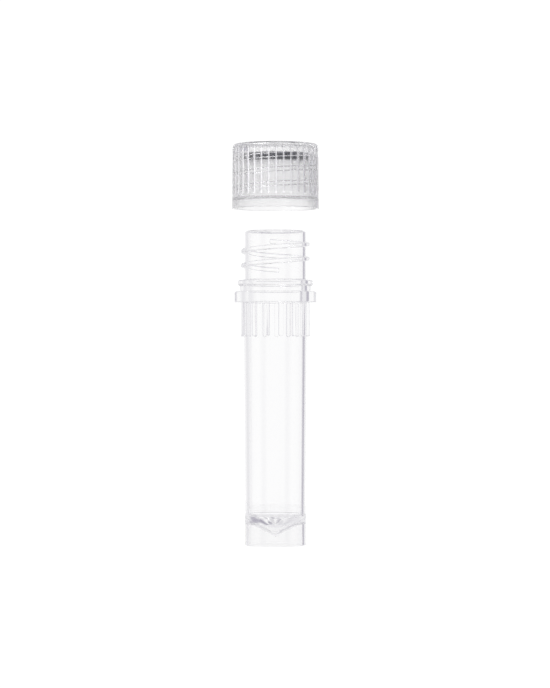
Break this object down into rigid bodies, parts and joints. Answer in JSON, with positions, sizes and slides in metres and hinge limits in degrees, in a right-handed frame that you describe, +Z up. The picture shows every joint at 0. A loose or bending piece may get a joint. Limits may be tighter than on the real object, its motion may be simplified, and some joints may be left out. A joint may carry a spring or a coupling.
{
  "type": "microcentrifuge tube",
  "caption": "Self-standing screw-cap sample tube with a conical floor inside its skirt, grip ribs under a flange, a threaded neck and a ribbed cap with a sealing ring.",
  "frame": {"origin": "centre of the foot, on the surface the tube stands on", "axes": "+Z up along the tube's axis, from the foot through the mouth to the cap"},
  "size_m": [0.0128, 0.0128, 0.0589],
  "materials": {
    "tube_polypropylene": "clear natural polypropylene, polished mould surface, slightly hazy in thick sections",
    "cap_polypropylene": "translucent natural polypropylene, satin ribbed outside",
    "seal_rubber": "dark smooth elastomer"
  },
  "bodies": {
    "tube": {"tube_body": "tube_polypropylene"},
    "seal": {"o_ring": "seal_rubber"},
    "cap": {"screw_cap": "cap_polypropylene"}
  },
  "joints": [
    {"name": "cap_lift", "type": "slide", "parent": "tube", "child": "seal", "axis": [0, 0, 1], "range_m": [-0.01013, 0]},
    {"name": "cap_turn", "type": "hinge", "parent": "seal", "child": "cap", "pos_m": [0, 0, 0.054], "axis": [0, 0, 1], "range_deg": [-1736.6, 0]}
  ],
  "couplings": [
    {"joint": "cap_turn", "follows": "cap_lift", "rad_per_m": 2992}
  ]
}
